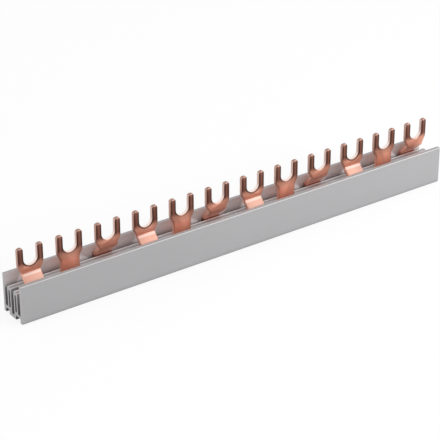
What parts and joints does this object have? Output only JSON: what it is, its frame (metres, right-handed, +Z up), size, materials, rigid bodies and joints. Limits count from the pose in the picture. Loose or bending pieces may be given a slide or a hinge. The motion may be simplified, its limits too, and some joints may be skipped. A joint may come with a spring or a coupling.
{
  "type": "comb busbar",
  "caption": "Three-phase fork comb busbar: stamped copper bars with fork tabs on a common line, held on edge in an extruded insulating profile, for linking circuit breakers.",
  "frame": {"origin": "bottom centre of the profile, on the surface that it stands on", "axes": "+X along the profile, to the right in the picture; +Y from the front wall to the rear wall; +Z up towards the fork tips"},
  "size_m": [0.213, 0.0148, 0.0298],
  "materials": {
    "insulation": "matt light grey rigid PVC, as extruded",
    "copper": "bare stamped copper, slightly tarnished"
  },
  "bodies": {
    "root": {"insulating_profile": "insulation", "front_phase_bar": "copper", "middle_phase_bar": "copper", "rear_phase_bar": "copper"}
  },
  "joints": []
}
